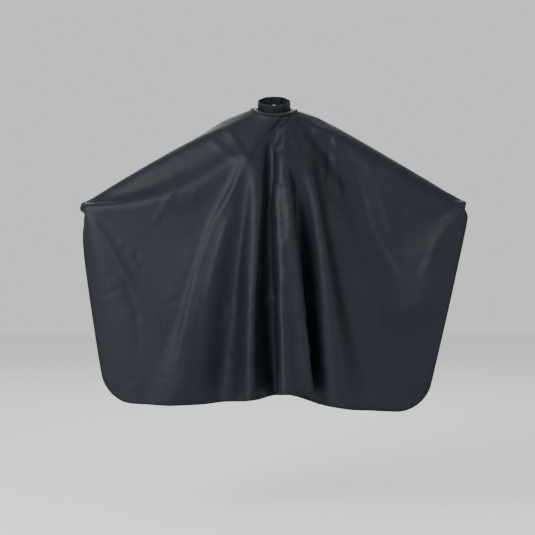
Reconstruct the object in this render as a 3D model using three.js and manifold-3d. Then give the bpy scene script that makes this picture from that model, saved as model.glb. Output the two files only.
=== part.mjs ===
// Barber cape: one wide sheet of light nylon with a tilted neckband that snaps shut at the back.
// It is modelled as it is worn, draped over spread arms. Millimetres, +Z up, +X to the right,
// the front faces -Y. The origin is the centre of the seam ring where the neckband meets the cloth.
import * as THREE from "three";
import { mergeVertices } from "three/addons/utils/BufferGeometryUtils.js";
import Module from "manifold-3d";

const wasm = await Module();
wasm.setup();

// Neckband
const neckRadius = 55.5; // seam ring, to the middle of the band
const neckTilt = 20; // degrees, front of the ring lower than the back
const bandHeight = 28;
const bandPly = 0.6; // one layer of the folded strip
const bandLining = 0.8; // stiffener held in the fold
const bandSteps = 52;
const clearance = 0.3; // between pieces that touch

// Closing tab, angles in degrees from the back of the neck towards +X
const tabRoot = 32;
const tabTip = -42;
const liningInset = 3; // of the stiffener from the tab's free end
const tabCorner = 8; // rounding of the tab's free end
const jogAngle = 20; // arc over which the band steps outwards to the tab's root
const underlapEnd = 25; // where the inner end of the band stops, beyond the back centre
const tabSteps = 18;

// Snaps
const snapAngle = -20; // the closed pair nearest the tab's root
const snapPitch = 13;
const studCount = 5;
const socketCount = 2;
const snapRadius = 5;
const capThickness = 1;
const capDome = 0.5;
const postRadius = 0.9;
const studBase = 0.8;
const knobRadius = 2;
const knobHeight = 1.3;
const knobPlay = 1.1; // round the knob, so that a peeling tab lifts off it
const socketWeb = 0.6;
const snapSides = 16;

// The drape
const clothThickness = 1.2;
const hemThickness = 2;
const hemWidth = 12;
const hemClearance = 0.5; // between the sheet and its hems
const shoulder = new THREE.Vector3(130, 5, -22); // where the cloth leaves the shoulder
const reach = 662; // from the middle to where a hand grips the side edge
const gripDepth = -52;
const armSlope = 30.5; // degrees below level
const frontLength = 985; // from the seam ring's centre to the front hem
const hemDip = 60; // how much lower the hem hangs beside the middle
const hemTaper = 87; // how far in from the hands the hem ends
const cornerRadius = 105;
const cornerEnd = -28; // degrees: the corner's arc stops here, where the side edge begins
const chestDepth = 105; // how far the front stands off below the arms
const hemDepth = 195; // and at the hem
const armRound = 0.24; // share of the fall that rounds the arms and the chest
const foldDepth = 88; // the two hanging folds below the bust
const foldPitch = 200;
const slitHalfGap = 3; // half of the opening at the back of the neck
const slitFoot = new THREE.Vector3(14, 160, -225); // lower end of the slit's edge
const backHem = [
  new THREE.Vector3(64, 180, -256),
  new THREE.Vector3(112, 168, -318),
  new THREE.Vector3(156, 138, -396),
  new THREE.Vector3(192, 92, -492),
];
const flapInset = 440; // lowest corner of a back flap: how far in from the hand,
const flapDepth = 30; // how far behind the ring's centre,
const flapDrop = 590; // and how far below it
const armCells = 20; // of the grid along an arm
const neckCells = 8; // round a quarter of the neck
const frontCells = 15; // down the front
const flapCells = 10; // down a back flap
const labelWidth = 26;
const labelLength = 38;
const labelThickness = 0.5;
const labelStand = 0.7; // off the curved cloth

// Worked out from the values above
const rad = THREE.MathUtils.degToRad;
const { lerp, smoothstep } = THREE.MathUtils;
const tilt = rad(neckTilt);
const bandThickness = 2 * (bandPly + clearance) + bandLining;
const bandOuter = neckRadius + bandThickness / 2;
const bandInner = neckRadius - bandThickness / 2;
const studFace = bandOuter + clearance + studBase;
const knobTop = studFace + knobHeight;
const socketMouth = studFace + clearance;
const cavityFloor = knobTop + clearance + 0.2;
const socketBack = cavityFloor + socketWeb;
const tabInner = socketBack + clearance + sagOf(snapRadius, socketBack);
const tabMiddle = tabInner + bandThickness / 2;
const tabOuter = tabInner + bandThickness;
const grip = new THREE.Vector3(
  reach,
  gripDepth,
  shoulder.z - (reach - shoulder.x) * Math.tan(rad(armSlope)),
);
const neckShare = (Math.PI / 2) * neckRadius / (reach + neckRadius); // of an edge, round the neck
const flapTip = new THREE.Vector3(reach - flapInset, flapDepth, -flapDrop);
const hemHalfWidth = reach - hemTaper - cornerRadius; // level run of the front hem, up to a corner
const hemShare = hemHalfWidth / (hemHalfWidth + 2 * cornerRadius);
const sideTrim = hemWidth / (reach + neckRadius);
const footTrim = hemWidth / frontLength;
const trimGap = hemClearance / (reach + neckRadius);

const flapLength = slitFoot.distanceTo(neckEdge(0));
const flapTrim = hemWidth / flapLength;
const ridgeGap = (hemThickness + clearance) / 2; // of front and back, each way from the ridge
const ridgeAngle = THREE.MathUtils.radToDeg(ridgeGap / neckRadius);

// how far a flat disc's rim sinks towards a round face of radius `face`
function sagOf(disc, face) {
  return face - Math.sqrt(face * face - disc * disc);
}

function material(color, roughness, metalness = 0) {
  return new THREE.MeshStandardMaterial({ color, roughness, metalness });
}

const nylon = material(0x1c2027, 0.55);
const nylonHem = material(0x171a20, 0.6);
const bandNylon = material(0x14171c, 0.6);
const stiffener = material(0x2b2c2e, 0.9);
const snapPlastic = material(0x101113, 0.35);
const labelSatin = material(0xd9d8d2, 0.7);

function piece(name, geometry, finish, parent) {
  const mesh = new THREE.Mesh(geometry, finish);
  mesh.name = name;
  parent.add(mesh);
  return mesh;
}

// ---- geometry helpers ----

function geometryOf(points, triangles) {
  const geometry = new THREE.BufferGeometry();
  geometry.setAttribute("position", new THREE.Float32BufferAttribute(points.flatMap((p) => p.toArray()), 3));
  geometry.setIndex(triangles);
  geometry.computeVertexNormals();
  return geometry;
}

// Evenly spaced values from `from` to `to`.
function stops(from, to, cells) {
  return Array.from({ length: cells + 1 }, (_, i) => lerp(from, to, i / cells));
}

// A thin closed shell about the middle surface at(u, v), with a vertex at each value of `us` and `vs`;
// shift moves it along the surface normal.
function shell(at, us, vs, thickness, shift = 0) {
  const step = 1e-4;
  const faces = [[], []];
  for (const v of vs) {
    for (const u of us) {
      const along = at(u + step, v).sub(at(u - step, v));
      const down = at(u, v + step).sub(at(u, v - step));
      const normal = along.cross(down).normalize();
      const middle = at(u, v).addScaledVector(normal, shift);
      faces[0].push(middle.clone().addScaledVector(normal, thickness / 2));
      faces[1].push(middle.clone().addScaledVector(normal, -thickness / 2));
    }
  }
  const row = us.length;
  const back = faces[0].length;
  const triangles = [];
  const quad = (a, b, c, d) => triangles.push(a, b, c, a, c, d);
  for (let j = 0; j + 1 < vs.length; j++) {
    for (let i = 0; i + 1 < row; i++) {
      const a = j * row + i;
      quad(a, a + 1, a + 1 + row, a + row);
      quad(back + a, back + a + row, back + a + 1 + row, back + a + 1);
    }
  }
  const rim = [];
  for (let i = 0; i < row - 1; i++) rim.push(i);
  for (let j = 0; j < vs.length - 1; j++) rim.push(j * row + row - 1);
  for (let i = row - 1; i > 0; i--) rim.push((vs.length - 1) * row + i);
  for (let j = vs.length - 1; j > 0; j--) rim.push(j * row);
  rim.forEach((a, k) => {
    const b = rim[(k + 1) % rim.length];
    quad(a, back + a, back + b, b);
  });
  return geometryOf([...faces[0], ...faces[1]], triangles);
}

// A closed section swept along a path: sectionAt(t) gives its points, in order, for t from 0 to 1.
// The flat section runs anticlockwise, seen against the path.
function sweep(sectionAt, flatSection, steps) {
  const points = [];
  const triangles = [];
  const count = flatSection.length;
  for (let i = 0; i <= steps; i++) points.push(...sectionAt(i / steps));
  for (let i = 0; i < steps; i++) {
    for (let k = 0; k < count; k++) {
      const a = i * count + k;
      const b = i * count + ((k + 1) % count);
      triangles.push(a, b, b + count, a, b + count, a + count);
    }
  }
  const outline = flatSection.map(([x, z]) => new THREE.Vector2(x, z));
  for (const [a, b, c] of THREE.ShapeUtils.triangulateShape(outline, [])) {
    triangles.push(a, c, b);
    const end = steps * count;
    triangles.push(end + a, end + b, end + c);
  }
  return geometryOf(points, triangles);
}

function solidOf(geometry) {
  const plain = geometry.clone();
  plain.deleteAttribute("normal");
  plain.deleteAttribute("uv");
  const merged = mergeVertices(plain, 1e-3);
  return new wasm.Manifold(
    new wasm.Mesh({
      numProp: 3,
      vertProperties: merged.attributes.position.array,
      triVerts: new Uint32Array(merged.index.array),
    }),
  );
}

function geometryOfSolid(solid) {
  const mesh = solid.getMesh();
  const geometry = new THREE.BufferGeometry();
  geometry.setAttribute("position", new THREE.BufferAttribute(mesh.vertProperties, 3));
  geometry.setIndex(new THREE.BufferAttribute(mesh.triVerts, 1));
  geometry.computeVertexNormals();
  return geometry;
}

// ---- neckband and tab, in the frame of the tilted ring ----

// A point of the ring's frame: angle from the back towards +X, distance from its axis, height.
function onRing(degrees, radius, height) {
  const a = rad(degrees);
  return new THREE.Vector3(radius * Math.sin(a), radius * Math.cos(a), height);
}

// A strip's section, as distance from its middle line against height: a folded band or its stiffener.
function foldedSection(low, high) {
  const outer = bandThickness / 2;
  const inner = outer - bandPly;
  return [
    [outer, low],
    [outer, high],
    [-outer, high],
    [-outer, low],
    [-inner, low],
    [-inner, high - bandPly],
    [inner, high - bandPly],
    [inner, low],
  ];
}

function liningSection(low, high) {
  const half = bandLining / 2;
  const top = high - bandPly - clearance;
  return [
    [half, low + 1],
    [half, top],
    [-half, top],
    [-half, low + 1],
  ];
}

// The band's middle line: it steps outwards where it turns into the tab.
function bandRadius(degrees) {
  return lerp(tabMiddle, neckRadius, smoothstep(degrees, tabRoot, tabRoot + jogAngle));
}

function bandStrip(section) {
  const at = (t) => {
    const degrees = lerp(tabRoot, 360 + underlapEnd, t);
    return section(0, bandHeight).map(([x, z]) => onRing(degrees, bandRadius(degrees) + x, z));
  };
  return sweep(at, section(0, bandHeight), bandSteps);
}

// The tab's free end is rounded: its low and high edges close in over the last stretch.
function tabStrip(section, endGap) {
  const start = tabRoot - THREE.MathUtils.radToDeg((clearance + 0.2) / tabOuter);
  const end = tabTip + THREE.MathUtils.radToDeg(endGap / tabMiddle);
  const reachOfCorner = THREE.MathUtils.radToDeg(tabCorner / tabMiddle);
  const at = (t) => {
    const degrees = lerp(end, start, 1 - Math.sin(((1 - t) * Math.PI) / 2));
    const left = Math.min((degrees - tabTip) / reachOfCorner, 1);
    const cut = tabCorner * (1 - Math.sqrt(1 - (1 - left) ** 2));
    return section(cut, bandHeight - cut).map(([x, z]) => onRing(degrees, tabMiddle + x, z));
  };
  return sweep(at, section(0, bandHeight), tabSteps);
}

// ---- snaps: lathe profiles run along the ring's radius at one angle ----

function turned(profile, degrees) {
  const points = profile.map(([radius, along]) => new THREE.Vector2(radius, along));
  const geometry = new THREE.LatheGeometry(points, snapSides);
  const along = onRing(degrees, 1, 0);
  geometry.applyQuaternion(new THREE.Quaternion().setFromUnitVectors(new THREE.Vector3(0, 1, 0), along));
  geometry.translate(0, 0, bandHeight / 2);
  return geometry;
}

// A domed cap with a post, from its face on the strip outwards; side is 1 outwards, -1 towards the neck.
function snapCap(degrees, face, side, postEnd) {
  const rim = face + side * capThickness;
  const profile = [
    [0, postEnd],
    [postRadius, postEnd],
    [postRadius, face],
    [snapRadius, face],
    [snapRadius, rim - side * capDome],
    [snapRadius * 0.7, rim],
    [0, rim + side * capDome * 0.4],
  ];
  return turned(side > 0 ? profile : profile.reverse(), degrees);
}

function snapStud(degrees) {
  const hole = postRadius + clearance;
  const profile = [
    [hole, bandOuter + clearance],
    [snapRadius - 0.6, bandOuter + clearance],
    [snapRadius - 0.6, studFace],
    [knobRadius - 0.2, studFace],
    [knobRadius, knobTop - 0.5],
    [knobRadius - 0.3, knobTop],
    [hole, knobTop],
    [hole, bandOuter + clearance],
  ];
  return turned(profile, degrees);
}

function snapSocket(degrees) {
  const hole = postRadius + clearance;
  const profile = [
    [hole, cavityFloor],
    [knobRadius + knobPlay, cavityFloor],
    [knobRadius + knobPlay, socketMouth],
    [snapRadius - 0.5, socketMouth],
    [snapRadius, socketMouth + 0.5],
    [snapRadius, socketBack],
    [hole, socketBack],
    [hole, cavityFloor],
  ];
  return turned(profile, degrees);
}

// Holes for the posts, through a strip whose middle line is at `middle`.
function punched(geometry, angles, middle) {
  let solid = solidOf(geometry);
  for (const degrees of angles) {
    const radius = postRadius + clearance;
    const profile = [
      [0, middle - bandThickness],
      [radius, middle - bandThickness],
      [radius, middle + bandThickness],
      [0, middle + bandThickness],
    ];
    solid = solid.subtract(solidOf(turned(profile, degrees)));
  }
  return geometryOfSolid(solid);
}

// ---- the draped sheet ----

// The ring's edge of the cloth, just under the band, in the part's own frame.
function neckEdge(degrees) {
  return onRing(degrees, neckRadius, -(clearance + clothThickness / 2)).applyAxisAngle(
    new THREE.Vector3(1, 0, 0),
    tilt,
  );
}

const ridge = new THREE.CatmullRomCurve3([
  neckEdge(90),
  shoulder,
  shoulder.clone().lerp(grip, 0.5),
  grip,
]);

// The sheet bends over the arms along the ridge; front and back part there by a hair's breadth.
function ridgeAt(share, side) {
  const along = THREE.MathUtils.clamp(share, 0, 1);
  const point = ridge.getPoint(along);
  point.y += side * ridgeGap;
  return point.addScaledVector(ridge.getTangent(along), (share - along) * ridge.getLength());
}

// Upper edge of the front: half round the neck, then out along an arm; u runs from -1 to 1.
function frontTop(u) {
  const across = Math.abs(u);
  const point =
    across < neckShare
      ? neckEdge(lerp(180, 90 + ridgeAngle, across / neckShare))
      : ridgeAt((across - neckShare) / (1 - neckShare), -1);
  point.x *= Math.sign(u) || 1;
  return point;
}

// Lower edge of the front: the hem, then a rounded corner up to the side edge.
function frontFoot(u) {
  const across = Math.abs(u);
  const run = Math.min(across / hemShare, 1);
  const low = -frontLength - hemDip * smoothstep(run, 0.1, 0.9);
  const turn = Math.max(across - hemShare, 0) / (1 - hemShare);
  const angle = rad(lerp(-90, cornerEnd, turn));
  const bend = turn > 0 ? cornerRadius : 0;
  return new THREE.Vector3(
    (Math.sign(u) || 1) * (hemHalfWidth * run + bend * Math.cos(angle)),
    -hemDepth,
    low + bend * (1 + Math.sin(angle)),
  );
}

function frontAt(u, v) {
  const top = frontTop(u);
  const foot = frontFoot(u);
  const point = top.clone().lerp(foot, v);
  const off = 1 - (1 - Math.min(v / armRound, 1)) ** 2;
  const middle = 1 - smoothstep(Math.abs(point.x), foldPitch * 0.9, foldPitch * 1.3);
  const folds = foldDepth * v * middle * Math.cos((2 * Math.PI * point.x) / foldPitch);
  point.y = lerp(top.y, -lerp(chestDepth, hemDepth, v), off) + folds * off;
  return point;
}

// A back flap, for the +X side: u runs from the slit to the hand, v from the top edge down.
const flapFoot = new THREE.CatmullRomCurve3([slitFoot, ...backHem, flapTip]);

function flapTop(u) {
  const slitAngle = THREE.MathUtils.radToDeg(slitHalfGap / neckRadius);
  return u < neckShare
    ? neckEdge(lerp(slitAngle, 90 - ridgeAngle, u / neckShare))
    : ridgeAt((u - neckShare) / (1 - neckShare), 1);
}

function flapAt(u, v) {
  const share = THREE.MathUtils.clamp(u, 0, 1);
  const foot = flapFoot.getPointAt(share);
  foot.addScaledVector(flapFoot.getTangentAt(share), (u - share) * flapFoot.getLength());
  const point = flapTop(u).lerp(foot, v);
  point.y += 26 * Math.sin(Math.PI * v) * (1 - share);
  return point;
}

function mirrored(at) {
  return (u, v) => at(u, v).multiply(new THREE.Vector3(-1, 1, 1));
}

// ---- assembly ----

const cape = new THREE.Group();

const sheet = new THREE.Group();
cape.add(sheet);

// Pieces that meet share their stops along the seam, so their edges run side by side.
const edge = 1 - sideTrim;
const armStops = stops(neckShare, edge, armCells);
const frontStops = [
  ...armStops.map((u) => -u).reverse(),
  ...stops(-neckShare, neckShare, 2 * neckCells).slice(1, -1),
  ...armStops,
];
const flapStops = [...stops(sideTrim, neckShare, neckCells), ...armStops.slice(1)];
const frontRows = stops(0, 1 - footTrim - trimGap, frontCells);
const flapRows = stops(0, 1 - flapTrim - hemClearance / flapLength, flapCells);

// The same stops with both ends drawn in by the gap of a seam.
function drawnIn(list) {
  return list.map((u, i) => (i === 0 ? u + trimGap : i === list.length - 1 ? u - trimGap : u));
}

piece("cape_front", shell(frontAt, drawnIn(frontStops), frontRows, clothThickness), nylon, sheet);
piece("hem_front", shell(frontAt, [-1, ...frontStops, 1], [1 - footTrim, 1], hemThickness), nylonHem, sheet);

const sides = [
  ["left", mirrored(flapAt), mirrored(frontAt)],
  ["right", flapAt, frontAt],
];
for (const [side, flap, front] of sides) {
  const hem = (name, at, us, vs) => piece(`${name}_${side}`, shell(at, us, vs, hemThickness), nylonHem, sheet);
  piece(`cape_back_${side}`, shell(flap, drawnIn(flapStops), flapRows, clothThickness), nylon, sheet);
  hem("hem_side", front, [edge, 1], frontRows);
  hem("hem_flap", flap, [edge, 1], flapRows);
  hem("hem_slit", flap, [0, sideTrim], flapRows);
  hem("hem_back", flap, [0, ...flapStops, 1], [1 - flapTrim, 1]);
}

// A blank care label on the neck side of the left flap, below the seam.
const labelSpan = labelWidth / (reach + neckRadius);
const labelTop = 0.03;
const labelFoot = labelTop + labelLength / flapLength;
const labelShift = clothThickness / 2 + labelStand + labelThickness / 2;
piece(
  "care_label",
  shell(
    mirrored(flapAt),
    stops(2 * sideTrim, 2 * sideTrim + labelSpan, 4),
    stops(labelTop, labelFoot, 4),
    labelThickness,
    labelShift,
  ),
  labelSatin,
  sheet,
);

const collar = new THREE.Group();
collar.rotation.x = tilt;
cape.add(collar);

const studAngles = Array.from({ length: studCount }, (_, i) => snapAngle - i * snapPitch);
const socketAngles = studAngles.slice(0, socketCount);
piece("neck_band", punched(bandStrip(foldedSection), studAngles, neckRadius), bandNylon, collar);
piece("band_stiffener", punched(bandStrip(liningSection), studAngles, neckRadius), stiffener, collar);
studAngles.forEach((degrees, i) => {
  const face = bandInner - clearance - sagOf(snapRadius, bandInner);
  piece(`stud_${i + 1}`, snapStud(degrees), snapPlastic, collar);
  piece(`stud_cap_${i + 1}`, snapCap(degrees, face, -1, studFace), snapPlastic, collar);
});

const tab = new THREE.Group();
collar.add(tab);
piece("tab", punched(tabStrip(foldedSection, 0), socketAngles, tabMiddle), bandNylon, tab);
piece("tab_stiffener", punched(tabStrip(liningSection, liningInset), socketAngles, tabMiddle), stiffener, tab);
socketAngles.forEach((degrees, i) => {
  piece(`socket_${i + 1}`, snapSocket(degrees), snapPlastic, tab);
  piece(`tab_cap_${i + 1}`, snapCap(degrees, tabOuter + clearance, 1, cavityFloor), snapPlastic, tab);
});

export default cape;
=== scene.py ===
import math

import bpy
import numpy as np
from mathutils import Matrix, Vector, geometry
from mathutils.bvhtree import BVHTree


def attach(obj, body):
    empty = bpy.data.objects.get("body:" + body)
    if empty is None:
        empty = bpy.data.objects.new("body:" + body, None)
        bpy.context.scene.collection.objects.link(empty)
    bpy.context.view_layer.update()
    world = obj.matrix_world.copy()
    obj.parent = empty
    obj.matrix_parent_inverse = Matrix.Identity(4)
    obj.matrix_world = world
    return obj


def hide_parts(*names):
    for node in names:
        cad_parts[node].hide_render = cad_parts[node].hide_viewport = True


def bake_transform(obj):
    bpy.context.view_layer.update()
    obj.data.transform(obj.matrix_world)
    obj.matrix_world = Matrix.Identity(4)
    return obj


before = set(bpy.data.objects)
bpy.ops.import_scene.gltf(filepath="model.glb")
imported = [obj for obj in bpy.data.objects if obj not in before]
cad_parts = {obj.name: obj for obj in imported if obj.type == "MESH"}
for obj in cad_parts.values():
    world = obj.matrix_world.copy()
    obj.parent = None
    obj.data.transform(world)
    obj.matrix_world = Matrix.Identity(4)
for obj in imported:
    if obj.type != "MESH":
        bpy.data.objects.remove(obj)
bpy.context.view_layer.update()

# A barber's cape as it is worn, in metres: +Z up, the front faces -Y, origin in the middle of the neck seam.

viewpoint = {"target": (-0.023, 0, -0.553), "distance": 4.6, "down": 2, "lens": 88.4}


def aimed(name, data, place, direction):
    made = bpy.data.objects.new(name, data)
    bpy.context.scene.collection.objects.link(made)
    made.location = place
    made.rotation_mode = "QUATERNION"
    made.rotation_quaternion = direction.to_track_quat("-Z", "Y")
    return made


def addCamera():
    data = bpy.data.cameras.new("camera")
    data.lens, data.sensor_width = viewpoint["lens"], 36
    tilt = math.radians(viewpoint["down"])
    back = Vector((0, -math.cos(tilt), math.sin(tilt)))
    place = Vector(viewpoint["target"]) + back * viewpoint["distance"]
    bpy.context.scene.camera = aimed("camera", data, place, -back)


addCamera()
print("camera set")


capeCut = {  # the flat sheet, from the middle of the neck hole; metres and degrees
    "halfWidth": 0.73,
    "frontLength": 1.045,
    "hemRise": 0.085,  # how much shorter the front is at its sides than in the middle
    "frontCorner": 0.095,
    "backLength": 0.30,
    "backCorner": 0.13,
    "backSpread": 20,  # from the back's middle to each edge of the slit
    "neckRadius": 0.074,
    "gripBelow": {-1: 0.250, 1: 0.205},  # along each side edge, in front of the shoulder line
    "gripHalf": 0.022,
    "cell": 0.020,
}
neckSeam = {
    "radius": 0.0555,
    "tilt": 20,
    "slitHalf": 3,  # degrees of the ring left open at the back, each way
    "gatherAt": 65,  # degrees of the cut from the front's middle, towards +X
    "gatherHalf": 30,
    "gatherRatio": 1.44,
    "pleats": 4,
    "pleatHeight": 0.0052,
}
hang = {
    "frames": 150,
    "wornBy": 30,  # frame at which neck and hands have brought the cape to its worn place
    "hands": {-1: (-0.668, -0.065, -0.345), 1: (0.660, -0.065, -0.338)},
    # folds laid in before the fall: degrees from the front's middle, half width, height at the hem
    "folds": [
        (2, 3, 0.04), (7.5, 2.5, 0.03), (16, 6, -0.12), (25, 5, 0.05),
        (-6, 4, -0.04), (-13, 4, 0.06), (-20, 4, -0.04), (-27, 5, 0.05),
    ],
    "lap": 0.02,  # how far one back half starts above the other
    "startHeight": 0.012,
    "quality": 6,
    "mass": 0.12,
    "stretch": 25,
    "shear": 12,
    "bend": 3,
    "airDamping": 4,
    "friction": 4,
    "clearance": 0.004,  # kept between the cloth and the form
    "selfClearance": 0.003,
}


def arcPoints(centre, radius, start, end, cell):
    count = max(3, round(abs(end - start) * radius / cell))
    angles = [start + (end - start) * i / count for i in range(count)]
    return [(centre[0] + radius * math.cos(a), centre[1] + radius * math.sin(a)) for a in angles]


def linePoints(start, end, cell):
    count = max(1, round(math.dist(start, end) / cell))
    return [tuple(np.array(start) + (np.array(end) - start) * i / count) for i in range(count)]


def hemLine(x, cut):
    return -(cut["frontLength"] - cut["hemRise"] * (x / cut["halfWidth"]) ** 2)


def capeBorder(cut):
    # one half, from the hem's middle round to the neck, is mirrored for the other
    w, cell = cut["halfWidth"], cut["cell"]
    corner, backCorner, back = cut["frontCorner"], cut["backCorner"], cut["backLength"]
    spread = math.radians(cut["backSpread"])
    run = w - corner
    steps = round(run / cell)
    half = [(run * i / steps, hemLine(run * i / steps, cut)) for i in range(steps)]
    turns = round(corner * math.pi / 2 / cell)
    for i in range(turns):
        a = math.pi / 2 * i / turns
        x = run + corner * math.sin(a)
        half.append((x, hemLine(x, cut) + corner * (1 - math.cos(a))))
    side = hemLine(w, cut) + corner
    half += linePoints((w, side), (w, back - backCorner), cell)
    half += arcPoints((w - backCorner, back - backCorner), backCorner, 0, math.pi / 2, cell)
    foot = (back * math.tan(spread), back)
    half += linePoints((w - backCorner, back), foot, cell)
    top = (cut["neckRadius"] * math.sin(spread), cut["neckRadius"] * math.cos(spread))
    half += linePoints(foot, top, cell * 0.7)
    neck = arcPoints((0, 0), cut["neckRadius"], math.pi / 2 - spread, -1.5 * math.pi + spread, 0.0037)
    mirror = [(-x, y) for x, y in half[1:]]
    return half + neck + [(-top[0], top[1])] + mirror[::-1]


def insideOf(border, points):
    b = np.array(border)
    c = np.roll(b, -1, 0)
    x, y = points[:, 0:1], points[:, 1:2]
    crosses = (b[:, 1] > y) != (c[:, 1] > y)
    at = (c[:, 0] - b[:, 0]) * (y - b[:, 1]) / (c[:, 1] - b[:, 1] + 1e-12) + b[:, 0]
    return (crosses & (x < at)).sum(1) % 2 == 1


def clearOf(border, points, gap):
    b = np.array(border)
    nearest = np.min(((points[:, None, :] - b[None, :, :]) ** 2).sum(2), 1)
    return nearest > gap**2


def flatMesh(cut):
    cell, rng = cut["cell"], np.random.default_rng(3)
    border = capeBorder(cut)
    rows = np.arange(-cut["frontLength"], cut["backLength"], cell * math.sqrt(3) / 2)
    points = []
    for i, y in enumerate(rows):
        xs = np.arange(-cut["halfWidth"] + (i % 2) * cell / 2, cut["halfWidth"], cell)
        points += [(x, y) for x in xs]
    points = np.array(points) + rng.uniform(-0.12, 0.12, (len(points), 2)) * cell
    # finer rings round the neck
    rings, radius, step = [], cut["neckRadius"], 0.0037
    turn = 0
    while step < cell * 0.8:
        radius += step * 0.9
        count = int(2 * math.pi * radius / step)
        rings += [(radius * math.cos(a), radius * math.sin(a)) for a in
                  (2 * math.pi * (i + 0.5 * (turn % 2)) / count for i in range(count))]
        step *= 1.14
        turn += 1
    rings = np.array(rings)
    points = points[np.hypot(*points.T) > radius + 0.45 * cell]
    points = points[insideOf(border, points) & clearOf(border, points, 0.55 * cell)]
    rings = rings[insideOf(border, rings) & clearOf(border, rings, 0.0022)]
    spread = math.radians(cut["backSpread"])
    slitGap = np.abs(np.abs(rings[:, 0]) * math.cos(spread) - rings[:, 1] * math.sin(spread))
    rings = rings[(rings[:, 1] < 0) | (slitGap > 0.005)]
    corners = [Vector(p) for p in [*border, *points, *rings]]
    edges = [(i, (i + 1) % len(border)) for i in range(len(border))]
    made = geometry.delaunay_2d_cdt(corners, edges, [list(range(len(border)))], 1, 1e-6)
    return np.array([tuple(v) for v in made[0]]), [tuple(f) for f in made[2]]


def ringDegrees(theta, cut, seam):
    # degrees of the cut to degrees of the neck ring, both from the front's middle towards +X
    end = 180 - cut["backSpread"]
    span = 2 * (180 - seam["slitHalf"])
    gathered = 2 * seam["gatherHalf"]
    plain = span / (2 * end - gathered + gathered / seam["gatherRatio"])
    low, high = seam["gatherAt"] - seam["gatherHalf"], seam["gatherAt"] + seam["gatherHalf"]
    inside = np.clip(theta, low, high) - low
    return -span / 2 + plain * (theta + end - inside + inside / seam["gatherRatio"])


def ringPoint(theta, cut, seam):
    phi = math.radians(float(ringDegrees(theta, cut, seam)))
    off = (theta - seam["gatherAt"]) / seam["gatherHalf"]
    swell = max(0, 1 - off**2) * seam["pleatHeight"]
    radius = seam["radius"] + swell * (0.5 - 0.5 * math.cos(math.pi * seam["pleats"] * (off + 1)))
    tilt = math.radians(seam["tilt"])
    x, y = radius * math.sin(phi), -radius * math.cos(phi)
    return Vector((x, y * math.cos(tilt), y * math.sin(tilt)))


def frontDegrees(point):
    return math.degrees(math.atan2(point[0], -point[1]))


def capsule(start, end, startRadius, endRadius):
    bpy.ops.mesh.primitive_uv_sphere_add(segments=24, ring_count=16, radius=1)
    made = bpy.context.object
    start, end = Vector(start), Vector(end)
    turn, length = (end - start).to_track_quat("Z", "Y"), (end - start).length
    for v in made.data.vertices:
        x, y, z = v.co
        r = endRadius if z >= 0 else startRadius
        v.co = turn @ Vector((x * r, y * r, z * r + (length if z >= 0 else 0))) + start
    return made


def ball(centre, radii):
    bpy.ops.mesh.primitive_uv_sphere_add(segments=32, ring_count=24, radius=1)
    made = bpy.context.object
    made.data.transform(Matrix.Translation(centre) @ Matrix.Diagonal((*radii, 1)))
    return made


def makeForm():
    parts = [
        capsule((0, 0.012, -0.06), (0, -0.03, 0.10), 0.052, 0.049),
        ball((0, 0.012, -0.20), (0.155, 0.100, 0.18)),
        ball((0, 0.012, -0.42), (0.130, 0.095, 0.22)),
        ball((0, 0.020, -0.60), (0.165, 0.115, 0.20)),
    ]
    for s in (-1, 1):
        parts += [
            capsule((s * 0.138, 0.012, -0.082), (s * 0.627, -0.050, -0.347), 0.047, 0.026),
            capsule((s * 0.03, 0.012, -0.052), (s * 0.138, 0.012, -0.080), 0.050, 0.047),
            ball((s * 0.080, -0.075, -0.200), (0.062, 0.066, 0.062)),
            ball((s * 0.648, -0.058, -0.362), (0.030, 0.022, 0.030)),
            capsule((s * 0.085, 0.01, -0.62), (s * 0.075, 0.0, -1.15), 0.085, 0.055),
        ]
    bpy.ops.object.select_all(action="DESELECT")
    for part in parts:
        part.select_set(True)
    bpy.context.view_layer.objects.active = parts[0]
    bpy.ops.object.join()
    form = bpy.context.object
    smooth = form.modifiers.new("skin", "REMESH")
    smooth.mode, smooth.voxel_size = "VOXEL", 0.010
    bpy.ops.object.modifier_apply(modifier="skin")
    smooth = form.modifiers.new("soft", "SMOOTH")
    smooth.iterations, smooth.factor = 6, 0.5
    bpy.ops.object.modifier_apply(modifier="soft")
    form.modifiers.new("push", "COLLISION")
    form.collision.thickness_outer = hang["clearance"]
    form.collision.cloth_friction = hang["friction"]
    form.collision.damping = 0.3
    return form


def startHeights(flat):
    # the sheet lies level at first, with the folds laid in and one back half a little above the other
    height = np.full(len(flat), hang["startHeight"])
    reach = np.hypot(*flat.T)
    theta = np.degrees(np.arctan2(flat[:, 0], -flat[:, 1]))
    for middle, half, rise in hang["folds"]:
        bump = np.clip(1 - np.abs(theta - middle) / half, 0, 1)
        height += rise * np.clip(reach / capeCut["frontLength"] - 0.1, 0, 1) * bump**2 * (3 - 2 * bump)
    lapping = (flat[:, 1] > 0.03) & (flat[:, 0] < 0)
    return height + lapping * hang["lap"] * np.clip((flat[:, 1] - 0.03) / 0.05, 0, 1)


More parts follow.
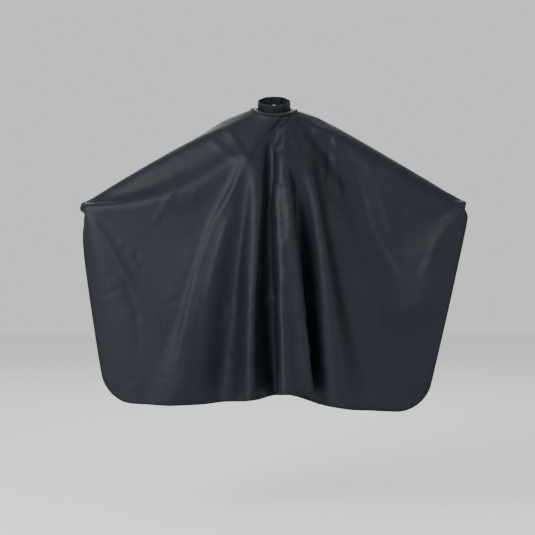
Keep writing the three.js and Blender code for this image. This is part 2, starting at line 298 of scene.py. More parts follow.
def hangCape(flat, faces):
    cut, seam = capeCut, neckSeam
    start = np.c_[flat, startHeights(flat)]
    mesh = bpy.data.meshes.new("hangingCape")
    mesh.from_pydata(start.tolist(), [], faces)
    cape = bpy.data.objects.new("hangingCape", mesh)
    bpy.context.scene.collection.objects.link(cape)
    reach = np.hypot(*flat.T)
    neck = [i for i in range(len(flat)) if abs(reach[i] - cut["neckRadius"]) < 2e-4]
    side = {s: [i for i in range(len(flat)) if abs(flat[i, 0] - s * cut["halfWidth"]) < 1e-4
                and abs(flat[i, 1] + cut["gripBelow"][s]) < cut["gripHalf"]] for s in (-1, 1)}
    held = cape.vertex_groups.new(name="held")
    held.add([int(i) for i in neck + side[-1] + side[1]], 1, "REPLACE")
    basis = cape.shape_key_add(name="Basis")
    worn = cape.shape_key_add(name="worn")
    rest = cape.shape_key_add(name="cut")
    for i, p in enumerate(flat):
        rest.data[i].co = (p[0], p[1], hang["startHeight"])
    for i in neck:
        point = ringPoint(frontDegrees(flat[i]), cut, seam)
        basis.data[i].co = worn.data[i].co = point
    for s in side:
        for i in side[s]:
            off = flat[i, 1] + cut["gripBelow"][s]
            worn.data[i].co = Vector(hang["hands"][s]) + Vector((0, off * 0.75, -abs(off) * 0.55))
    worn.value = 0
    worn.keyframe_insert("value", frame=1)
    worn.value = 1
    worn.keyframe_insert("value", frame=hang["wornBy"])
    cloth = cape.modifiers.new("cloth", "CLOTH")
    s = cloth.settings
    s.quality, s.mass = hang["quality"], hang["mass"]
    s.tension_stiffness = s.compression_stiffness = hang["stretch"]
    s.shear_stiffness, s.bending_stiffness = hang["shear"], hang["bend"]
    s.tension_damping = s.compression_damping = s.shear_damping = 8
    s.bending_damping, s.air_damping = 0.6, hang["airDamping"]
    s.vertex_group_mass, s.pin_stiffness = "held", 1
    s.rest_shape_key = rest
    c = cloth.collision_settings
    c.collision_quality, c.distance_min, c.friction = 3, hang["clearance"], hang["friction"]
    c.use_self_collision, c.self_distance_min = True, hang["selfClearance"]
    cloth.point_cache.frame_end = hang["frames"]
    scene = bpy.context.scene
    scene.frame_start, scene.frame_end = 1, hang["frames"]
    for frameNumber in range(1, hang["frames"] + 1):
        scene.frame_set(frameNumber)
    made = cape.evaluated_get(bpy.context.evaluated_depsgraph_get())
    return cape, np.array([v.co[:] for v in made.data.vertices])


def cutArea():
    p = np.array(capeBorder(capeCut))
    x, y = p.T
    return abs(float(np.dot(x, np.roll(y, -1)) - np.dot(y, np.roll(x, -1)))) / 2


def newPiece(name, points, faces, finish, smooth=True):
    mesh = bpy.data.meshes.new(name)
    mesh.from_pydata([tuple(map(float, p)) for p in points], [], [tuple(map(int, f)) for f in faces])
    mesh.update()
    mesh.polygons.foreach_set("use_smooth", [smooth] * len(mesh.polygons))
    made = bpy.data.objects.new(name, mesh)
    bpy.context.scene.collection.objects.link(made)
    mesh.materials.append(finish)
    return made


def addNode(tree, kind, values=None, **settings):
    made = tree.nodes.new(kind)
    for key, value in settings.items():
        setattr(made, key, value)
    for key, value in (values or {}).items():
        if isinstance(value, bpy.types.NodeSocket):
            tree.links.new(value, made.inputs[key])
        else:
            made.inputs[key].default_value = value
    return made


def newGroup(name, inputs, outputs):
    tree = bpy.data.node_groups.new(name, "ShaderNodeTree")
    for label, value in inputs.items():
        kind = "NodeSocketVector" if isinstance(value, tuple) else "NodeSocketFloat"
        tree.interface.new_socket(label, in_out="INPUT", socket_type=kind).default_value = value
    for label in outputs:
        tree.interface.new_socket(label, in_out="OUTPUT", socket_type="NodeSocketFloat")
    return tree, tree.nodes.new("NodeGroupInput").outputs, tree.nodes.new("NodeGroupOutput").inputs


def calc(tree, operation, a, b=0.0, c=0.0):
    return addNode(tree, "ShaderNodeMath", {0: a, 1: b, 2: c}, operation=operation).outputs[0]


def weaveGroup():
    # plain weave: warp over weft and back, from a position laid out in metres
    inputs = {"Position": (0.0, 0.0, 0.0), "Pitch": 0.0007}
    tree, given, made = newGroup("plainWeave", inputs, ["Height", "Shade"])
    parts = addNode(tree, "ShaderNodeSeparateXYZ", {0: given["Position"]}).outputs
    turns = [calc(tree, "DIVIDE", parts[i], given["Pitch"]) for i in (0, 1)]
    waves = [calc(tree, "SINE", calc(tree, "MULTIPLY", t, math.pi)) for t in turns]
    over = calc(tree, "MULTIPLY", waves[0], waves[1])
    uneven = addNode(tree, "ShaderNodeTexNoise", {"Vector": given["Position"], "Scale": 240.0, "Detail": 2.0})
    tree.links.new(calc(tree, "MULTIPLY_ADD", over, 0.5, 0.5), made["Height"])
    # Shade: lighter where a thread lies over the other, a painted shade of the crossings, plus uneven yarn
    # tone from the noise
    tree.links.new(calc(tree, "MULTIPLY_ADD", over, 0.12, uneven.outputs[0]), made["Shade"])
    return tree


def creaseGroup():
    # soft crumples of a thin tight cloth: sharp folded lines at two sizes, uneven from place to place
    inputs = {"Position": (0.0, 0.0, 0.0), "Size": 0.06}
    tree, given, made = newGroup("clothCreases", inputs, ["Height", "Mask"])
    scale = calc(tree, "DIVIDE", 1.0, given["Size"])
    bent = addNode(tree, "ShaderNodeTexNoise", {"Vector": given["Position"], "Scale": scale, "Detail": 2.0})
    small = (0.05, 0.05, 0.05)
    moved = addNode(tree, "ShaderNodeVectorMath", {0: bent.outputs["Color"], 1: small}, operation="MULTIPLY")
    ends = {0: given["Position"], 1: moved.outputs[0]}
    place = addNode(tree, "ShaderNodeVectorMath", ends, operation="ADD").outputs[0]
    heights = []
    for share, drop in ((1.0, 1.0), (2.7, 0.4)):
        cells = addNode(
            tree, "ShaderNodeTexVoronoi", {"Vector": place, "Scale": calc(tree, "MULTIPLY", scale, share)},
            feature="SMOOTH_F1",
        )
        heights.append(calc(tree, "MULTIPLY", cells.outputs["Distance"], drop))
    wide = calc(tree, "MULTIPLY", scale, 0.35)
    patches = addNode(tree, "ShaderNodeTexNoise", {"Vector": given["Position"], "Scale": wide, "Detail": 1.0})
    limits = {"Value": patches.outputs[0], "From Min": 0.42, "From Max": 0.66}
    mask = addNode(tree, "ShaderNodeMapRange", limits).outputs[0]
    both = calc(tree, "ADD", heights[0], heights[1])
    tree.links.new(calc(tree, "MULTIPLY", both, calc(tree, "MULTIPLY_ADD", mask, 0.75, 0.25)), made["Height"])
    # Mask marks the more crumpled patches; the cloth material lightens its colour there, a painted sheen
    tree.links.new(mask, made["Mask"])
    return tree


def dustGroup():
    # lint and rubbed patches
    tree, given, made = newGroup("lint", {"Position": (0.0, 0.0, 0.0), "Amount": 0.5}, ["Mask"])
    specks = addNode(tree, "ShaderNodeTexVoronoi", {"Vector": given["Position"], "Scale": 90.0})
    patches = addNode(tree, "ShaderNodeTexNoise", {"Vector": given["Position"], "Scale": 7.0, "Detail": 3.0})
    limits = {"Value": specks.outputs["Distance"], "From Min": 0.10, "From Max": 0.04}
    near = addNode(tree, "ShaderNodeMapRange", limits).outputs[0]
    limits = {"Value": patches.outputs[0], "From Min": 0.55, "From Max": 0.75}
    some = addNode(tree, "ShaderNodeMapRange", limits).outputs[0]
    tree.links.new(calc(tree, "MULTIPLY", calc(tree, "MULTIPLY", near, some), given["Amount"]), made["Mask"])
    return tree


weave, creases, lint = weaveGroup(), creaseGroup(), dustGroup()


def placeGroup(tree, group, values):
    made = addNode(tree, "ShaderNodeGroup", node_tree=group)
    for key, value in values.items():
        if isinstance(value, bpy.types.NodeSocket):
            tree.links.new(value, made.inputs[key])
        else:
            made.inputs[key].default_value = value
    return made.outputs


def newMaterial(name, roughness, sheen=0.0, specular=0.5):
    made = bpy.data.materials.new(name)
    made.use_nodes = True
    shader = made.node_tree.nodes["Principled BSDF"]
    shader.inputs["Roughness"].default_value = roughness
    shader.inputs["Sheen Weight"].default_value = sheen
    shader.inputs["Sheen Roughness"].default_value = 0.4
    shader.inputs["Specular IOR Level"].default_value = specular
    return made, made.node_tree, shader


def blendOf(tree, share, first, second):
    ends = [(*end, 1) if isinstance(end, tuple) else end for end in (first, second)]
    return addNode(tree, "ShaderNodeMix", {0: share, 6: ends[0], 7: ends[1]}, data_type="RGBA").outputs[2]


def clothMaterial(name, look):
    made, tree, shader = newMaterial(name, look["roughness"], look["sheen"], look["specular"])
    uv = addNode(tree, "ShaderNodeUVMap", uv_map="cut").outputs[0]
    threads = placeGroup(tree, weave, {"Position": uv, "Pitch": look["pitch"]})
    folds = placeGroup(tree, creases, {"Position": uv, "Size": look["crease"]})
    fluff = placeGroup(tree, lint, {"Position": uv, "Amount": look["lint"]})
    # base colour: painted shade of the thread crossings and uneven yarn tone from the weave, and a painted
    # sheen that lightens the more crumpled patches
    toneShadeAndSheen = calc(tree, "MULTIPLY_ADD", threads["Shade"], 0.7, calc(tree, "MULTIPLY", folds["Mask"], 0.2))
    cloth = blendOf(tree, toneShadeAndSheen, look["dark"], look["light"])
    dusty = blendOf(tree, fluff["Mask"], cloth, (0.10, 0.11, 0.12))
    tree.links.new(dusty, shader.inputs["Base Color"])
    rough = calc(tree, "MULTIPLY_ADD", threads["Shade"], 0.10, look["roughness"] - 0.05)
    tree.links.new(rough, shader.inputs["Roughness"])
    fine = addNode(tree, "ShaderNodeBump", {
        "Height": threads["Height"], "Strength": look["weaveBump"], "Distance": 0.0002,
    })
    bump = addNode(tree, "ShaderNodeBump", {
        "Height": folds["Height"], "Strength": look["creaseBump"], "Distance": 0.006,
        "Normal": fine.outputs[0],
    })
    tree.links.new(bump.outputs[0], shader.inputs["Normal"])
    return made


def threadMaterial(name, dark, light):
    made, tree, shader = newMaterial(name, 0.6, 0.2)
    place = addNode(tree, "ShaderNodeTexCoord").outputs["Object"]
    twist = addNode(tree, "ShaderNodeTexNoise", {"Vector": place, "Scale": 1800.0, "Detail": 2.0}).outputs[0]
    tree.links.new(blendOf(tree, twist, dark, light), shader.inputs["Base Color"])
    bump = addNode(tree, "ShaderNodeBump", {"Height": twist, "Strength": 0.5, "Distance": 0.0002})
    tree.links.new(bump.outputs[0], shader.inputs["Normal"])
    return made


def plasticMaterial(name, dark, light):
    made, tree, shader = newMaterial(name, 0.34, 0.0)
    place = addNode(tree, "ShaderNodeTexCoord").outputs["Object"]
    grain = addNode(tree, "ShaderNodeTexNoise", {"Vector": place, "Scale": 1500.0, "Detail": 3.0}).outputs[0]
    scuff = addNode(tree, "ShaderNodeTexNoise", {"Vector": place, "Scale": 260.0, "Detail": 5.0}).outputs[0]
    tree.links.new(blendOf(tree, scuff, dark, light), shader.inputs["Base Color"])
    tree.links.new(calc(tree, "MULTIPLY_ADD", scuff, 0.3, 0.2), shader.inputs["Roughness"])
    bump = addNode(tree, "ShaderNodeBump", {"Height": grain, "Strength": 0.25, "Distance": 0.0001})
    tree.links.new(bump.outputs[0], shader.inputs["Normal"])
    return made


nylonLook = {
    "dark": (0.0034, 0.0050, 0.0088), "light": (0.0088, 0.0118, 0.0190), "roughness": 0.54, "sheen": 0.03,
    "specular": 0.22, "pitch": 0.0007, "crease": 0.055, "lint": 0.35, "weaveBump": 0.25, "creaseBump": 0.22,
}
nylon = clothMaterial("capeNylon", nylonLook)
# the hem's colours are darker than the sheet's: painted shade along the hem line
hemNylonPaintedShade = clothMaterial("hemNylonPaintedShade", {
    **nylonLook, "crease": 0.014, "creaseBump": 0.14, "roughness": 0.62,
    "dark": (0.0018, 0.0027, 0.0048), "light": (0.0048, 0.0066, 0.0108),
})
bandNylon = clothMaterial("bandNylon", {
    **nylonLook, "crease": 0.012, "creaseBump": 0.10, "roughness": 0.55, "weaveBump": 0.4,
    "dark": (0.0040, 0.0058, 0.0098), "light": (0.0095, 0.0130, 0.0205),
})
satin = clothMaterial("labelSatin", {
    **nylonLook, "dark": (0.55, 0.54, 0.50), "light": (0.78, 0.77, 0.73), "pitch": 0.0004, "lint": 0.1,
    "crease": 0.02, "roughness": 0.42,
})
thread = threadMaterial("navyThread", (0.006, 0.007, 0.010), (0.030, 0.034, 0.042))
plastic = plasticMaterial("snapPlastic", (0.006, 0.0062, 0.007), (0.017, 0.0175, 0.019))
print("materials ready")


creaseLines = [  # over the front, as (x, z) points, half width and height; below 0 is a groove
    ([(-0.172, -0.055), (-0.130, -0.125), (-0.088, -0.200)], 0.012, 0.0050),
    ([(-0.235, -0.100), (-0.160, -0.160), (-0.095, -0.205)], 0.012, 0.0028),
    ([(-0.094, -0.208), (-0.145, -0.290), (-0.205, -0.395), (-0.262, -0.560), (-0.345, -0.930)],
     0.013, 0.0060),
    ([(-0.110, -0.245), (-0.175, -0.400), (-0.225, -0.570), (-0.290, -0.900)], 0.014, -0.0045),
    ([(0.050, -0.020), (0.012, -0.062), (-0.045, -0.120), (-0.070, -0.168), (-0.076, -0.200)],
     0.0075, -0.0060),
    ([(0.036, -0.018), (-0.012, -0.062), (-0.066, -0.118), (-0.088, -0.170)], 0.0080, 0.0042),
    ([(0.062, -0.022), (0.046, -0.040), (0.016, -0.068)], 0.0065, -0.0040),
    ([(0.066, -0.026), (0.050, -0.055), (0.034, -0.110), (0.030, -0.150)], 0.0080, 0.0045),
    ([(0.080, -0.030), (0.080, -0.062), (0.070, -0.112)], 0.0075, -0.0036),
    ([(0.164, -0.050), (0.125, -0.125), (0.094, -0.190)], 0.011, 0.0052),
    ([(0.194, -0.070), (0.191, -0.155), (0.183, -0.290)], 0.0090, -0.0050),
    ([(0.206, -0.090), (0.213, -0.190), (0.228, -0.340)], 0.010, 0.0036),
    ([(0.232, -0.100), (0.290, -0.240), (0.330, -0.420), (0.450, -0.640)], 0.012, -0.0036),
    ([(0.300, -0.140), (0.360, -0.280), (0.420, -0.470)], 0.012, 0.0030),
    ([(-0.300, -0.190), (-0.350, -0.300), (-0.420, -0.420)], 0.011, 0.0026),
    ([(-0.640, -0.350), (-0.560, -0.470), (-0.470, -0.640)], 0.014, 0.0030),
    ([(0.630, -0.330), (0.560, -0.450), (0.500, -0.600)], 0.014, 0.0030),
    ([(-0.520, -0.560), (-0.470, -0.700), (-0.455, -0.860)], 0.012, -0.0025),
    ([(0.380, -0.560), (0.360, -0.720), (0.385, -0.900)], 0.012, 0.0026),
]
shortCreases = {"count": 90, "length": 0.055, "halfWidth": 0.0085, "height": 0.0016, "seed": 11}
sheetLayer = {"thickness": 0.0006}


def lineDistance(points, line):
    # each point's distance to a chain of straight stretches, and how far along it lies, from 0 to 1
    ends = np.array(line)
    lengths = np.linalg.norm(np.diff(ends, axis=0), axis=1)
    done, total = np.r_[0, np.cumsum(lengths)], lengths.sum()
    best, along = np.full(len(points), 9.0), np.zeros(len(points))
    for i, length in enumerate(lengths):
        step = ends[i + 1] - ends[i]
        t = np.clip((points - ends[i]) @ step / length**2, 0, 1)
        away = np.linalg.norm(points - ends[i] - t[:, None] * step, axis=1)
        closer = away < best
        best[closer] = away[closer]
        along[closer] = ((done[i] + t * length) / total)[closer]
    return best, along


def creaseHeights(points, front):
    rng = np.random.default_rng(shortCreases["seed"])
    lines = list(creaseLines)
    for _ in range(shortCreases["count"]):
        x, z = rng.uniform(-0.60, 0.56), rng.uniform(-0.95, -0.12)
        turn = rng.uniform(-1.1, 1.1) + 0.9 * x
        length = shortCreases["length"] * rng.uniform(0.5, 1.5)
        end = (x + length * math.sin(turn), z - length * math.cos(turn))
        height = shortCreases["height"] * rng.uniform(0.4, 1.0) * rng.choice([-1, 1])
        lines.append(([(x, z), end], shortCreases["halfWidth"], height))
    flatView = points[:, [0, 2]]
    height = np.zeros(len(points))
    for line, half, rise in lines:
        away, along = lineDistance(flatView, line)
        fade = np.clip(np.minimum(along, 1 - along) * 5, 0, 1)
        height += rise * np.exp(-((away / half) ** 2)) * fade * fade * (3 - 2 * fade)
    return height * front


def smoothMesh(points, faces, flat):
    mesh = bpy.data.meshes.new("drape")
    mesh.from_pydata(points.tolist(), [], faces)
    layer = mesh.uv_layers.new(name="cut")
    layer.uv.foreach_set("vector", flat[[l.vertex_index for l in mesh.loops]].ravel())
    made = bpy.data.objects.new("drape", mesh)
    bpy.context.scene.collection.objects.link(made)
    fine = made.modifiers.new("fine", "SUBSURF")
    fine.levels, fine.uv_smooth, fine.boundary_smooth = 1, "NONE", "PRESERVE_CORNERS"
    result = bpy.data.meshes.new_from_object(made.evaluated_get(bpy.context.evaluated_depsgraph_get()))
    bpy.data.objects.remove(made)
    return result


def vertexNumbers(mesh):
    points = np.zeros(len(mesh.vertices) * 3)
    mesh.vertices.foreach_get("co", points)
    normals = np.zeros(len(mesh.vertices) * 3)
    mesh.vertices.foreach_get("normal", normals)
    uv = np.zeros(len(mesh.loops) * 2)
    mesh.uv_layers["cut"].uv.foreach_get("vector", uv)
    corner = np.zeros(len(mesh.loops), int)
    mesh.loops.foreach_get("vertex_index", corner)
    flat = np.zeros((len(mesh.vertices), 2))
    flat[corner] = uv.reshape(-1, 2)
    return points.reshape(-1, 3), normals.reshape(-1, 3), flat


class Surface:
    # the worn cloth as a map from the flat cut: at((x, y)) gives a place and the outward normal
    def __init__(self, mesh):
        self.points, self.normals, self.flat = vertexNumbers(mesh)
        mesh.calc_loop_triangles()
        self.triangles = [tuple(t.vertices) for t in mesh.loop_triangles]
        self.tree = BVHTree.FromPolygons([(x, y, 0) for x, y in self.flat], self.triangles)

    def at(self, place):
        spot, _, index, _ = self.tree.find_nearest((place[0], place[1], 0))
        a, b, c = self.triangles[index]
        corners = [Vector((*self.flat[i], 0)) for i in (a, b, c)]
        unit = [Vector((1, 0, 0)), Vector((0, 1, 0)), Vector((0, 0, 1))]
        share = np.array(geometry.barycentric_transform(spot, *corners, *unit))
        normal = share @ self.normals[[a, b, c]]
        return share @ self.points[[a, b, c]], normal / max(np.linalg.norm(normal), 1e-9)


def makeSheet():
    flat, faces = flatMesh(capeCut)
    form = makeForm()
    hung, worn = hangCape(flat, faces)
    for used in (form, hung):
        bpy.data.objects.remove(used)
    print("cape hung")
    mesh = smoothMesh(worn, faces, flat)
    mesh.name = "capeSheet"
    points, normals, cut = vertexNumbers(mesh)
    if normals[np.argmin(np.hypot(cut[:, 0], cut[:, 1] + 0.5))][1] > 0:
        mesh.flip_normals()
        normals = -normals
    front = np.clip((-cut[:, 1] - np.abs(cut[:, 0]) * 0.22) / 0.05, 0, 1)
    points += normals * creaseHeights(points, front)[:, None]
    mesh.vertices.foreach_set("co", points.ravel())
    mesh.update()
    surface = Surface(mesh)
    made = bpy.data.objects.new("capeSheet", mesh)
    bpy.context.scene.collection.objects.link(made)
    mesh.materials.append(nylon)
    mesh.polygons.foreach_set("use_smooth", [True] * len(mesh.polygons))
    layer = made.modifiers.new("layer", "SOLIDIFY")
    layer.thickness, layer.offset = sheetLayer["thickness"], 0
    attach(made, "root")
    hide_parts("cape_front", "cape_back_left", "cape_back_right")
    return made, surface


hem = {"width": 0.011, "half": 0.0009, "pucker": 0.0003, "step": 0.004, "seam": 0.0024}
stitch = {"length": 0.0024, "pitch": 0.0032, "radius": 0.00032}


def borderRuns(cut, cell):
    # the +X half of the cut's edge in named stretches, from the hem's middle round to the neck
    w, corner, backCorner, back = (cut[k] for k in ("halfWidth", "frontCorner", "backCorner", "backLength"))
    spread, run = math.radians(cut["backSpread"]), w - corner
    count, turns = round(run / cell), round(corner * math.pi / 2 / cell)
    front = [(run * i / count, hemLine(run * i / count, cut)) for i in range(count)]
    for i in range(turns + 1):
        a = math.pi / 2 * i / turns
        x = run + corner * math.sin(a)
        front.append((x, hemLine(x, cut) + corner * (1 - math.cos(a))))
    grip = (w, -cut["gripBelow"][1])
    top = (cut["neckRadius"] * math.sin(spread), cut["neckRadius"] * math.cos(spread))
    foot, turn = (back * math.tan(spread), back), (w - backCorner, back)
    flap = linePoints(grip, (w, back - backCorner), cell)
    flap += arcPoints((w - backCorner, back - backCorner), backCorner, 0, math.pi / 2, cell) + [turn]
    return {
        "front": front,
        "side": linePoints(front[-1], grip, cell) + [grip],
        "flap": flap,
        "back": linePoints(turn, foot, cell) + [foot],
        "slit": linePoints(foot, top, cell) + [top],
    }


def mirrored(path):
    return [(-x, y) for x, y in reversed(path)]


def inwardOf(path):
    # unit steps into the cloth, with the edge run anticlockwise
    p = np.array(path)
    along = np.gradient(p, axis=0)
    along /= np.linalg.norm(along, axis=1)[:, None]
    return np.c_[-along[:, 1], along[:, 0]]


def hemStrip(name, node, path, surface, rng):
    inward, width, half = inwardOf(path), hem["width"], hem["half"]
    section = [
        (-0.0009, 0.0), (-0.0006, 0.6), (0.0, 0.95), (0.0030, 1.0), (0.0060, 1.08), (0.0086, 0.80),
        (0.0102, 0.95), (0.0110, 0.55), (0.0110, -0.55), (0.0102, -0.95), (0.0086, -0.80),
        (0.0060, -1.08), (0.0030, -1.0), (0.0, -0.95), (-0.0006, -0.6),
    ]
    puff = np.convolve(rng.normal(0, 1, len(path) + 4), np.ones(3) / 3, "same")[2:-2]
    points = []
    for i, place in enumerate(path):
        stops = [surface.at(np.array(place) + inward[i] * d) for d in (0.0006, width / 2, width)]
        out = stops[0][0] - stops[1][0]
        out /= max(np.linalg.norm(out), 1e-9)
        for reach, height in section:
            t = min(max(reach / width, 0), 1) * 2
            k = min(int(t), 1)
            spot = stops[k][0] * (1 - t + k) + stops[k + 1][0] * (t - k)
            lift = stops[k][1] * (1 - t + k) + stops[k + 1][1] * (t - k)
            swell = half + hem["pucker"] * puff[i]
            points.append(spot + out * max(-reach, 0) + lift * height * swell)
    count, rings = len(section), len(path)
    faces = [
        (i * count + k, i * count + (k + 1) % count, (i + 1) * count + (k + 1) % count, (i + 1) * count + k)
        for i in range(rings - 1) for k in range(count)
    ]
    faces += [tuple(range(count))[::-1], tuple((rings - 1) * count + k for k in range(count))]
    made = newPiece(name, points, faces, hemNylonPaintedShade)
    layUv(made, [(np.array(path[i]) + inward[i] * section[k][0]) for i in range(rings) for k in range(count)])
    faceOutwards(made)
    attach(made, "root")
    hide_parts(node)
    return made


def layUv(made, places):
    layer = made.data.uv_layers.new(name="cut")
    layer.uv.foreach_set("vector", np.array([places[l.vertex_index] for l in made.data.loops]).ravel())


def faceOutwards(made):
    made.data.calc_loop_triangles()
    p = np.array([v.co[:] for v in made.data.vertices])
    t = np.array([tuple(x.vertices) for x in made.data.loop_triangles])
    if (p[t[:, 0]] * np.cross(p[t[:, 1]], p[t[:, 2]])).sum() < 0:
        made.data.flip_normals()


def stitches(name, spots):
    # spots are (middle, direction along the seam, direction out of the cloth)
    rings = [(-0.5, 0.45), (-0.3, 1.0), (0.3, 1.0), (0.5, 0.45)]
    around = [(math.cos(a), math.sin(a)) for a in (2 * math.pi * k / 6 for k in range(6))]
    shape = np.array([(t * stitch["length"], r * c * stitch["radius"], r * s * stitch["radius"])
                      for t, r in rings for c, s in around])
    points, faces = [], []
    for middle, along, out in spots:
        along = along / np.linalg.norm(along)
        side = np.cross(along, out)
        side /= np.linalg.norm(side)
        up = np.cross(side, along)
        base = len(points)
        points += list(middle + shape @ np.array([along, side, up]))
        for i in range(3):
            for k in range(6):
                a, b = base + i * 6 + k, base + i * 6 + (k + 1) % 6
                faces.append((a, b, b + 6, a + 6))
        faces += [tuple(base + k for k in range(6))[::-1], tuple(base + 18 + k for k in range(6))]
    made = newPiece(name, points, faces, thread)
    faceOutwards(made)
    return made


def seamSpots(path, surface):
    # along a hem, one thread's stitch every pitch on both faces
    p, inward = np.array(path), inwardOf(path)
    run = np.r_[0, np.cumsum(np.linalg.norm(np.diff(p, axis=0), axis=1))]
    spots = []
    for s in np.arange(stitch["pitch"] / 2, run[-1], stitch["pitch"]):
        flat = np.array([np.interp(s, run, p[:, 0]), np.interp(s, run, p[:, 1])])
        step = np.array([np.interp(s, run, inward[:, 0]), np.interp(s, run, inward[:, 1])])
        place = flat + step * (hem["width"] - hem["seam"])
        middle, out = surface.at(place)
        along = surface.at(place + np.array([step[1], -step[0]]) * 0.002)[0] - middle
        if np.linalg.norm(along) > 1e-6:
            spots += [(middle + out * hem["half"] * s2 * 0.85, along, out * s2) for s2 in (1, -1)]
    return spots


def makeHems(surface):
    rng = np.random.default_rng(5)
    right = borderRuns(capeCut, hem["step"])
    left = {name: mirrored(path) for name, path in right.items()}
    front = left["front"][:-1] + right["front"]
    pieces = [hemStrip("hemFront", "hem_front", front, surface, rng)]
    for side, paths in (("left", left), ("right", right)):
        for name in ("side", "flap", "back", "slit"):
            made, node = f"hem{name.title()}.{side}", f"hem_{name}_{side}"
            pieces.append(hemStrip(made, node, paths[name], surface, rng))
    spots = seamSpots(front, surface)
    for paths in (left, right):
        for name in ("side", "flap", "back", "slit"):
            spots += seamSpots(paths[name], surface)
    seams = stitches("hemStitches", spots)
    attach(seams, "root")
    return pieces + [seams]


band = {
    "radius": neckSeam["radius"],
    "tilt": neckSeam["tilt"],
    "height": 0.028,
    "half": 0.0013,
    "join": 52,  # where the tab grows out of the band, in degrees from the back
    "end": 385,
    "step": 1.5,
    "tabMiddle": 0.06211,
    "tabRoot": 32,
    "tabTip": -42,
    "tabCorner": 0.008,
    "puff": 0.0004,
    "gather": 0.00025,
    "seams": (0.0030, 0.0252),
}


def fromRing(degrees, radius, height):
    # the ring's frame: degrees from the back towards +X; tilted so that the front is lower
    a, tilt = math.radians(degrees), math.radians(band["tilt"])
    x, y = radius * math.sin(a), radius * math.cos(a)
    level, steep = math.cos(tilt), math.sin(tilt)
    return np.array([x, y * level - height * steep, y * steep + height * level])


def bandRadius(degrees):
    t = min(max((degrees - band["tabRoot"]) / (band["join"] - band["tabRoot"]), 0), 1)
    return band["tabMiddle"] + (band["radius"] - band["tabMiddle"]) * t * t * (3 - 2 * t)


def bandSection(cut):
    # round the strip: outer face up, over the fold at the top, down the inner face; cut rounds a free end
    low, high, half = cut, band["height"] - cut, band["half"]
    shares = (0.03, 0.09, 0.107, 0.125, 0.2, 0.35, 0.5, 0.65, 0.8, 0.875, 0.9, 0.918, 0.96)
    outer = [(half, low + (high - low) * t) for t in shares]
    top = [(half * math.cos(a), high - half + half * math.sin(a)) for a in np.linspace(0.3, math.pi - 0.3, 6)]
    inner = [(-x, z) for x, z in reversed(outer)]
    bottom = [(-half * 0.6, low), (half * 0.6, low)]
    return outer + top + inner + bottom


def bandStrip(name, angles, freeEnd=None):
    points, places = [], []
    for degrees in angles:
        radius, cut = bandRadius(degrees), 0.0
        if freeEnd is not None:
            left = min(abs(degrees - freeEnd) * math.pi / 180 * radius / band["tabCorner"], 1)
            cut = band["tabCorner"] * (1 - math.sqrt(max(1 - (1 - left) ** 2, 0)))
        ripple = band["gather"] * math.sin(degrees * 0.95) * math.sin(degrees * 0.41 + 1)
        for off, height in bandSection(cut):
            share = height / band["height"]
            nearSeam = max(math.exp(-(((height - s) / 0.0011) ** 2)) for s in band["seams"])
            swell = band["puff"] * (math.sin(math.pi * min(max(share, 0), 1)) - 1.2 * nearSeam)
            swell += ripple * (1 - share) * (1.5 - nearSeam)
            puffed = off + math.copysign(swell, off) * (abs(off) > 0.0011)
            points.append(fromRing(degrees, radius + puffed, height))
            places.append((math.radians(degrees) * radius, height + (0.05 if off < 0 else 0)))
    count, rings = len(bandSection(0)), len(angles)
    faces = [
        (i * count + k, (i + 1) * count + k, (i + 1) * count + (k + 1) % count, i * count + (k + 1) % count)
        for i in range(rings - 1) for k in range(count)
    ]
    faces += [tuple(range(count)), tuple((rings - 1) * count + k for k in range(count))[::-1]]
    made = newPiece(name, points, faces, bandNylon)
    layUv(made, places)
    faceOutwards(made)
    return made


def bandSpots(start, end, heights):
    spots = []
    for height in heights:
        degrees = start
        while degrees < end:
            radius = bandRadius(degrees)
            along = fromRing(degrees + 0.5, radius, height) - fromRing(degrees - 0.5, radius, height)
            for side in (1, -1):
                face = radius + side * (band["half"] - 0.00012)
                out = (fromRing(degrees, face + 0.01, height) - fromRing(degrees, face, height)) * side
                spots.append((fromRing(degrees, face, height), along, out))
            degrees += math.degrees(stitch["pitch"] / radius)
    return spots


def crossSpots(degreesList, low, high):
    spots = []
    for degrees in degreesList:
        radius = bandRadius(degrees)
        for height in np.arange(low, high, stitch["pitch"]):
            for side in (1, -1):
                face = radius + side * (band["half"] + 0.0002)
                out = (fromRing(degrees, face + 0.01, height) - fromRing(degrees, face, height)) * side
                along = fromRing(degrees, face, height + 0.001) - fromRing(degrees, face, height)
                spots.append((fromRing(degrees, face, height), along, out))
    return spots


def makeBand():
    body = bandStrip("neckBand", np.arange(band["join"], band["end"] + 0.1, band["step"]))
    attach(body, "root")
    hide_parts("neck_band", "band_stiffener")
    spots = bandSpots(band["join"] + 1, band["end"] - 1, band["seams"])
    spots += crossSpots((band["end"] - 3,), 0.005, 0.024)
    seams = stitches("neckBandStitches", spots)
    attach(seams, "root")
    tipStretch = band["tabTip"] + np.array([0.0, 0.15, 0.4, 0.8, 1.3, 2.0, 2.8, 3.8, 5.0, 6.2, 7.4])
    level = np.arange(band["tabTip"] + 8.8, band["join"] + 0.01, 1.4)
    tab = bandStrip("closingTab", [*tipStretch, *level, band["join"]], freeEnd=band["tabTip"])
    spots = bandSpots(band["tabTip"] + 8, band["join"] - 1, band["seams"])
    spots += crossSpots((band["tabTip"] + 3.2, band["join"] - 2.2), 0.006, 0.023)
    tabSeams = stitches("closingTabStitches", spots)
    for piece in (tab, tabSeams):
        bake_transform(piece)
    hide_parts("tab", "tab_stiffener")


snap = {"angles": (-20, -33, -46, -59, -72), "sockets": 2, "cap": 0.005, "sides": 48, "post": 0.0009}
across = {  # distances from the ring's axis, from the band's inside outwards
    "bandInner": 0.0542, "bandOuter": 0.0568, "studFace": 0.0579, "knobTop": 0.0592, "mouth": 0.0582,
    "floor": 0.0597, "back": 0.0603, "tabOuter": 0.06341,
}


